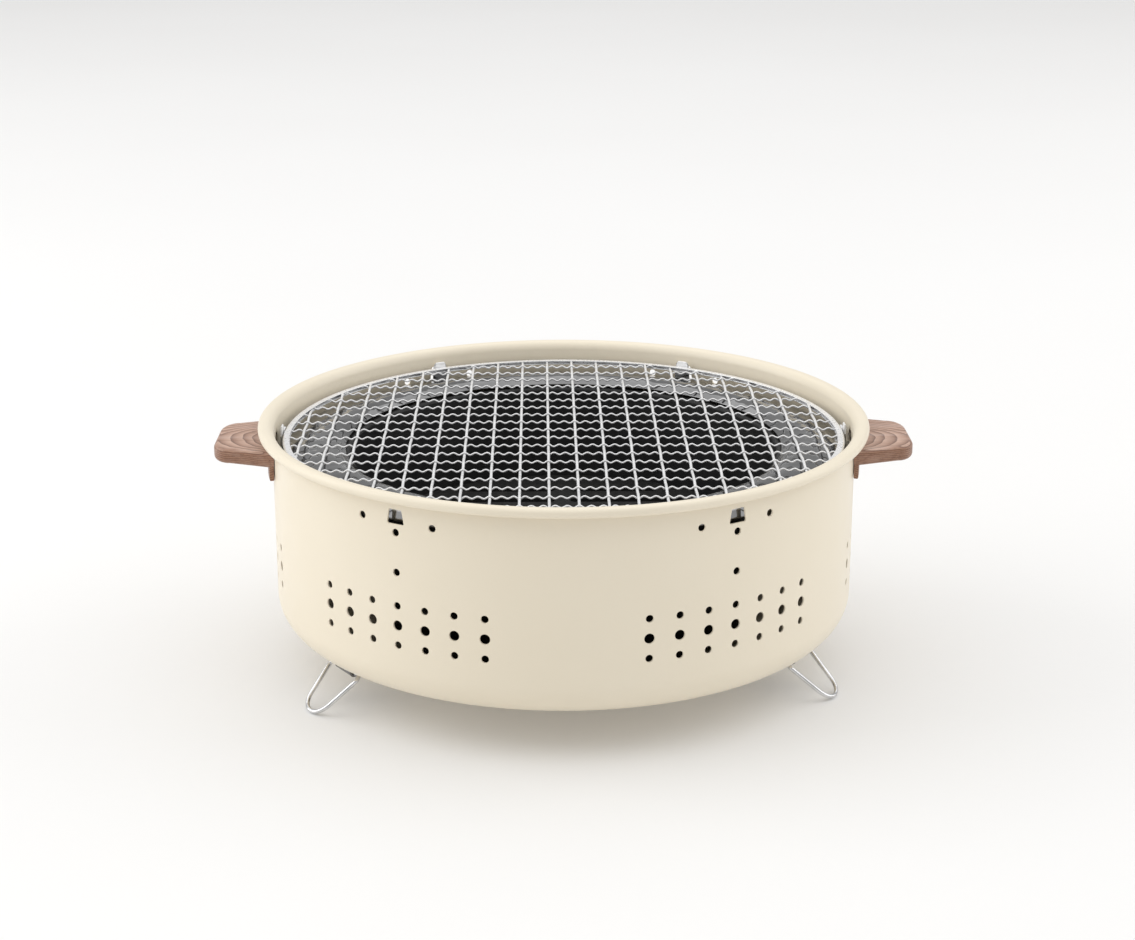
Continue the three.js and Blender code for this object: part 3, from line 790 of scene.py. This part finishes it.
def handle(side):
    """An L-shaped piece of wood: a board with rounded edges, and a lip that lies on the wall."""
    name = f"handle_{'right' if side > 0 else 'left'}"
    board = solid(f"{name}_wood", board_rings(), 90 * side)
    lip = solid("lip", lip_rings(), 90 * side)
    joined(board, [lip], "UNION", "MANIFOLD")
    return settle(soften(board, 38), name)


for side in (-1, 1):
    handle(side)

# ------------------------------------------------------------------ screws, rivets, clips and legs


def standing(outline, sides):
    """Rings of a turned solid on the Z axis through (radius, height) points."""
    return [[(radius * math.cos(turn), radius * math.sin(turn), height)
             for turn in (2 * math.pi * step / sides for step in range(sides))]
            for radius, height in outline]


def dome(radius, high, base, sign, steps=7):
    """The outline of a low dome from its rim to just short of its middle."""
    turns = [math.pi / 2 * step / (steps + HEAD_OPEN) for step in range(steps + 1)]
    return [(radius * math.cos(turn), base + sign * high * math.sin(turn)) for turn in turns]


def screw(side, number, degrees):
    """A cross-head screw whose head lies on the inside of the wall."""
    outline = [(0.15, -SCREW_LENGTH), (SCREW_SHANK, -SCREW_LENGTH + SCREW_POINT), (SCREW_SHANK, 0)]
    outline += dome(SCREW_HEAD, SCREW_HEAD_HIGH, 0, 1)
    piece = solid(f"cross_screw_{side}_{number}", standing(outline, 32))
    blades = []
    for long, wide in ((CROSS_LONG, CROSS_WIDE), (CROSS_WIDE, CROSS_LONG)):
        ring = [(-long, -wide), (long, -wide), (long, wide), (-long, wide)]
        blades.append(solid("blade", [
            [(x * CROSS_TAPER, y * CROSS_TAPER, SCREW_HEAD_HIGH - CROSS_DEEP) for x, y in ring],
            [(x, y, SCREW_HEAD_HIGH + 1) for x, y in ring]]))
    joined(piece, blades, "DIFFERENCE")
    spot = Matrix.Translation(Vector((0, -SCREW_SEAT, FLANK_HEIGHT)) * MM)
    stand = spot @ Matrix.Rotation(-math.pi / 2, 4, "X")
    piece.data.transform(Matrix.Rotation(math.radians(degrees), 4, "Z") @ stand)
    return settle(soften(piece, 35), f"handle_screw_{side}_{number}")


def rivet(side, number, degrees):
    """A rivet through a clip and the tub's floor, with a low dome at both ends."""
    low = CLIP_MIDDLE - CLIP_SHEET / 2 - RIVET_GAP
    top = TUB_FLOOR + TUB_SHEET + RIVET_GAP
    outline = dome(RIVET_HEAD, RIVET_HEAD_HIGH, low, -1)[::-1]
    outline += [(RIVET_SHANK, low), (RIVET_SHANK, top)] + dome(RIVET_HEAD, RIVET_HEAD_HIGH, top, 1)
    piece = solid(f"rivet_{side}_{number}", standing(outline, 28))
    across = RIVET_SIDE * (-1 if number == 1 else 1)
    spot = Matrix.Translation(Vector((across, -RIVET_OUT, 0)) * MM)
    piece.data.transform(Matrix.Rotation(math.radians(degrees), 4, "Z") @ spot)
    return settle(soften(piece, 35), f"leg_rivet_{side}_{number}")


def ribbon(name, line, thick, half_width, turn):
    """A bent strip of sheet: a line of (out, height) points, with its half width at every point."""
    cap_steps = 4
    outline = sheet_outline(line, thick, cap_steps=cap_steps)
    widths = [half_width(point) for point in line]
    cap = cap_steps - 1
    spans = widths + [widths[-1]] * cap + widths[::-1] + [widths[0]] * cap
    rings = [[(sign * span, -point.x, point.y) for (point, _), span in zip(outline, spans)]
             for sign in (-1, 1)]
    return solid(name, rings, turn)


def clip(side, degrees):
    """A plate under the floor whose outer end curls round the leg's two pivot ends."""
    line = [Vector((CLIP_IN + step, CLIP_MIDDLE)) for step in CLIP_STEPS] + [Vector((CLIP_FLAT, CLIP_MIDDLE))]
    line += arc((LEG_PIVOT_OUT, LEG_PIVOT_HIGH), CLIP_CURL, CLIP_CURL, 90, -190, 30)

    def half_width(point):
        return stepped(point.x - CLIP_IN, CLIP_END, CLIP_HALF)

    piece = ribbon(f"clip_{side}", line, CLIP_SHEET, half_width, degrees)
    return settle(soften(piece, 35), f"leg_clip_{side}")


def leg(side, degrees):
    """One wire: two pivot ends that point at each other, two arms, a round foot."""
    slope = math.radians(LEG_SLOPE)
    reach = (LEG_PIVOT_HIGH - LEG_WIRE) / math.sin(slope)
    apex = reach - LEG_TIP + LEG_TIP / math.sin(math.radians(LEG_CLOSE_IN))
    elbow = apex * math.tan(math.radians(LEG_CLOSE_IN))
    flat = [((LEG_END_GAP + LEG_WIRE / 2, 0), 0), ((elbow, 0), LEG_BEND), ((0, apex), LEG_TIP),
            ((-elbow, 0), LEG_BEND), ((-LEG_END_GAP - LEG_WIRE / 2, 0), 0)]
    line = [around((point.x, -LEG_PIVOT_OUT - point.y * math.cos(slope),
                    LEG_PIVOT_HIGH - point.y * math.sin(slope)), degrees) for point in rounded(flat, 18)]
    skin = Skin()
    skin.tube(line, LEG_WIRE, 20, dome=4)
    return settle(skin.make(f"wire_leg_{side}"), f"leg_{side}")


for side, group in (("left", -90.6), ("right", 90.6)):
    for number, sign in ((1, -1), (2, 1)):
        screw(side, number, group + sign * FLANK_ANGLE)
for side, degrees in LEG_ANGLES.items():
    clip(side, degrees)
    leg(side, degrees)
    for number in (1, 2):
        rivet(side, number, degrees)

# ------------------------------------------------------------------ charcoal bowl, collar, grate


def even_angles(count):
    return [360 * step / count for step in range(count)]


def smooth_line(points, steps=6):
    """A Catmull-Rom line through the points."""
    points = [Vector(point) for point in points]
    line = []
    for index in range(len(points) - 1):
        before = points[max(index - 1, 0)]
        start, end = points[index], points[index + 1]
        after = points[min(index + 2, len(points) - 1)]
        for step in range(steps):
            part = step / steps
            line.append(0.5 * (
                2 * start + (end - before) * part + (2 * before - 5 * start + 4 * end - after) * part ** 2
                + (3 * start - before - 3 * end + after) * part ** 3))
    return line + [points[-1]]


def collar():
    """A turned ring with a crest that carries the net, and six upturned ears."""
    skin = Skin()
    crest = smooth_line(COLLAR_CREST)
    line = [point - Vector((0, COLLAR_SHEET / 2)) for point in crest]
    outline = sheet_outline(line[::-1], COLLAR_SHEET, cap_steps=6)
    skin.lathe(outline, even_angles(180))
    piece = skin.make("bright_collar")
    foot = COLLAR_EDGE - COLLAR_SHEET / 2
    path = rounded([((EAR_FOOT, foot), 0), ((EAR_MIDDLE, foot), EAR_BEND),
                    ((EAR_MIDDLE, EAR_TOP - COLLAR_SHEET / 2), 0)])
    path[-1:-1] = [Vector((EAR_MIDDLE, EAR_TOP - drop)) for drop in EAR_DROPS]

    def half_width(point):
        up = (point.y - foot) / (EAR_TOP - foot)
        width = EAR_LOW_WIDE / 2 + (EAR_TOP_WIDE - EAR_LOW_WIDE) / 2 * max(up, 0)
        return width - stepped(EAR_TOP - point.y, EAR_CUT, 0)

    ears = [ribbon("ear", path, COLLAR_SHEET, half_width, group) for group in GROUP_ANGLES]
    joined(piece, ears, "UNION")
    return settle(soften(piece, 40), "bowl_collar")


def bowl():
    """A deep turned dish with a flat flange and a ring of air holes."""
    line = [Vector((radius, BOWL_LOW + BOWL_SHEET / 2)) for radius in BOWL_RINGS]
    line += rounded([((radius, height), bend) for radius, height, bend in BOWL_LINE])
    skin = Skin()
    skin.lathe(sheet_outline(line, BOWL_SHEET, cap_start=False), even_angles(160), closed=False)
    piece = skin.make("black_bowl")
    cutters = []
    for index in range(BOWL_HOLES):
        degrees = 360 / BOWL_HOLES * (index + 0.5)
        rings = [[(BOWL_HOLE * math.cos(turn), -reach, BOWL_HOLE_HIGH + BOWL_HOLE * math.sin(turn))
                  for turn in (2 * math.pi * step / 28 for step in range(28))] for reach in BOWL_PUNCH]
        cutters.append(solid("punch", rings, degrees))
    joined(piece, cutters, "DIFFERENCE")
    return settle(soften(piece, 35), "charcoal_bowl")


def grate():
    """A disc with two columns of long slots."""
    disc = solid("slotted_grate", standing([
        (GRATE_RADIUS - GRATE_EDGE, GRATE_LOW), (GRATE_RADIUS, GRATE_LOW + GRATE_EDGE),
        (GRATE_RADIUS, GRATE_TOP - GRATE_EDGE), (GRATE_RADIUS - GRATE_EDGE, GRATE_TOP)], 120))
    cutters = []
    for row in range(GRATE_ROWS):
        across = (row - (GRATE_ROWS - 1) / 2) * GRATE_STEP
        reach = math.sqrt((GRATE_RADIUS - GRATE_BORDER) ** 2 - across ** 2)
        radius = GRATE_SLOT / 2
        for side in (-1, 1):
            near, far = GRATE_BRIDGE / 2 + radius, reach - radius
            loop = arc((far, across), radius, radius, -90, 90, 10)
            loop += arc((near, across), radius, radius, 90, 270, 10)
            cutters.append(solid("slot", [
                [(point.x * side, point.y, height) for point in loop]
                for height in (GRATE_LOW - PUNCH_PAST, GRATE_TOP + PUNCH_PAST)]))
    joined(disc, cutters, "DIFFERENCE")
    return settle(soften(disc, 30), "charcoal_grate")


collar()
bowl()
grate()

# ------------------------------------------------------------------ cooking net


def net():
    """Woven wires, the cross ones crimped in short waves, held in a folded strip."""
    skin = Skin()
    reach = NET_OUT - WIRE_INSET
    count = int(NET_OUT / NET_PITCH) + 1
    for column in range(-count, count + 1):
        x = MAIN_SHIFT + column * NET_PITCH
        if abs(x) > reach - WIRE_EDGE:
            continue
        long = math.sqrt(reach ** 2 - x ** 2)
        steps = int(2 * long / MAIN_STEP)
        line = []
        for step in range(steps + 1):
            y = -long + 2 * long * step / steps
            swing = math.cos(math.pi * (y - CROSS_SHIFT) / NET_PITCH) * (-1) ** column
            fade = min(1.0, (long - abs(y)) / MAIN_FADE)
            line.append(Vector((x, y, NET_LEVEL - MAIN_SWING * swing * fade)))
        skin.tube(line, MAIN_WIRE, 8)
    for row in range(-count, count + 2):
        y = CROSS_SHIFT + row * NET_PITCH
        if abs(y) > reach - WIRE_EDGE:
            continue
        long = math.sqrt(reach ** 2 - y ** 2)
        steps = int(2 * long / CROSS_STEP)
        line = []
        for step in range(steps + 1):
            x = -long + 2 * long * step / steps
            wave = math.cos(2 * math.pi * CROSS_WAVES * (x - MAIN_SHIFT) / NET_PITCH + math.pi * row)
            fade = min(1.0, (long - abs(x)) / CROSS_FADE)
            climb = CROSS_CLIMB * math.cos(math.pi * (x - MAIN_SHIFT) / NET_PITCH) ** 6
            line.append(Vector((x, y, NET_LEVEL + (CROSS_SWING + climb) * wave * fade)))
        skin.tube(line, CROSS_WIRE, 6)
    middle = NET_FOLD / 2 - NET_STRIP / 2
    fold = []
    for side in (1, -1):
        ends = [((NET_OUT - FOLD_DEEP, NET_LEVEL + side * (middle - FOLD_LEAN)), 0),
                ((NET_OUT - NET_STRIP / 2, NET_LEVEL + side * middle), FOLD_BEND)]
        fold += ends[::side]
    skin.lathe(sheet_outline(rounded(fold), NET_STRIP), even_angles(240))
    return settle(skin.make("woven_net"), "cooking_net")


net()

# ------------------------------------------------------------------ floor, light and camera

FLOOR_RADIUS, FLOOR_LOW, FLOOR_TOP = 25000.0, -2.0, -0.02  # in millimetres; the top clears the feet
# Lights and camera are placed in metres.
GRILL_MIDDLE = Vector((0, 0, 0.08))
CAMERA_PLACE, CAMERA_LENS = (-0.01196, -1.08319, 0.43905), 71.48
CAMERA_DOWN, CAMERA_ASIDE = 17.56, -0.733  # degrees below level, and turned off the middle

floor_piece = solid("floor", standing([(FLOOR_RADIUS, FLOOR_LOW), (FLOOR_RADIUS, FLOOR_TOP)], 96))
floor_piece.data.materials.append(pale_floor())


def softbox(name, place, wide, high, radiance, turned=True):
    """A large soft light, turned to the grill or straight down; its power follows from its radiance."""
    data = bpy.data.lights.new(name, "AREA")
    data.shape = "RECTANGLE"
    data.size, data.size_y = wide, high
    data.energy = radiance * math.pi * wide * high
    lamp = bpy.data.objects.new(name, data)
    lamp.location = place
    if turned:
        lamp.rotation_euler = (GRILL_MIDDLE - Vector(place)).to_track_quat("-Z", "Y").to_euler()
    lamp.visible_camera = False
    bpy.context.scene.collection.objects.link(lamp)


softbox("top_light", (0.0, 0.9, 3.2), 7.5, 7.5, 0.70, turned=False)
softbox("left_light", (-2.3, 0.1, 1.1), 2.2, 2.0, 1.9)
softbox("right_light", (2.3, 0.3, 1.1), 2.2, 2.0, 1.2)

world = bpy.data.worlds.new("studio")
world.use_nodes = True
sky = world.node_tree.nodes["Background"].inputs
sky["Color"].default_value = (1.0, 1.0, 1.0, 1)
sky["Strength"].default_value = 0.50
bpy.context.scene.world = world
bpy.context.scene.view_settings.view_transform = "Standard"

camera_data = bpy.data.cameras.new("camera")
camera_data.lens = CAMERA_LENS
camera_data.sensor_width = 36.0
camera_data.clip_start, camera_data.clip_end = 0.05, 60.0
camera = bpy.data.objects.new("camera", camera_data)
camera.location = CAMERA_PLACE
camera.rotation_euler = (math.radians(90 - CAMERA_DOWN), 0, math.radians(CAMERA_ASIDE))
bpy.context.scene.collection.objects.link(camera)
bpy.context.scene.camera = camera
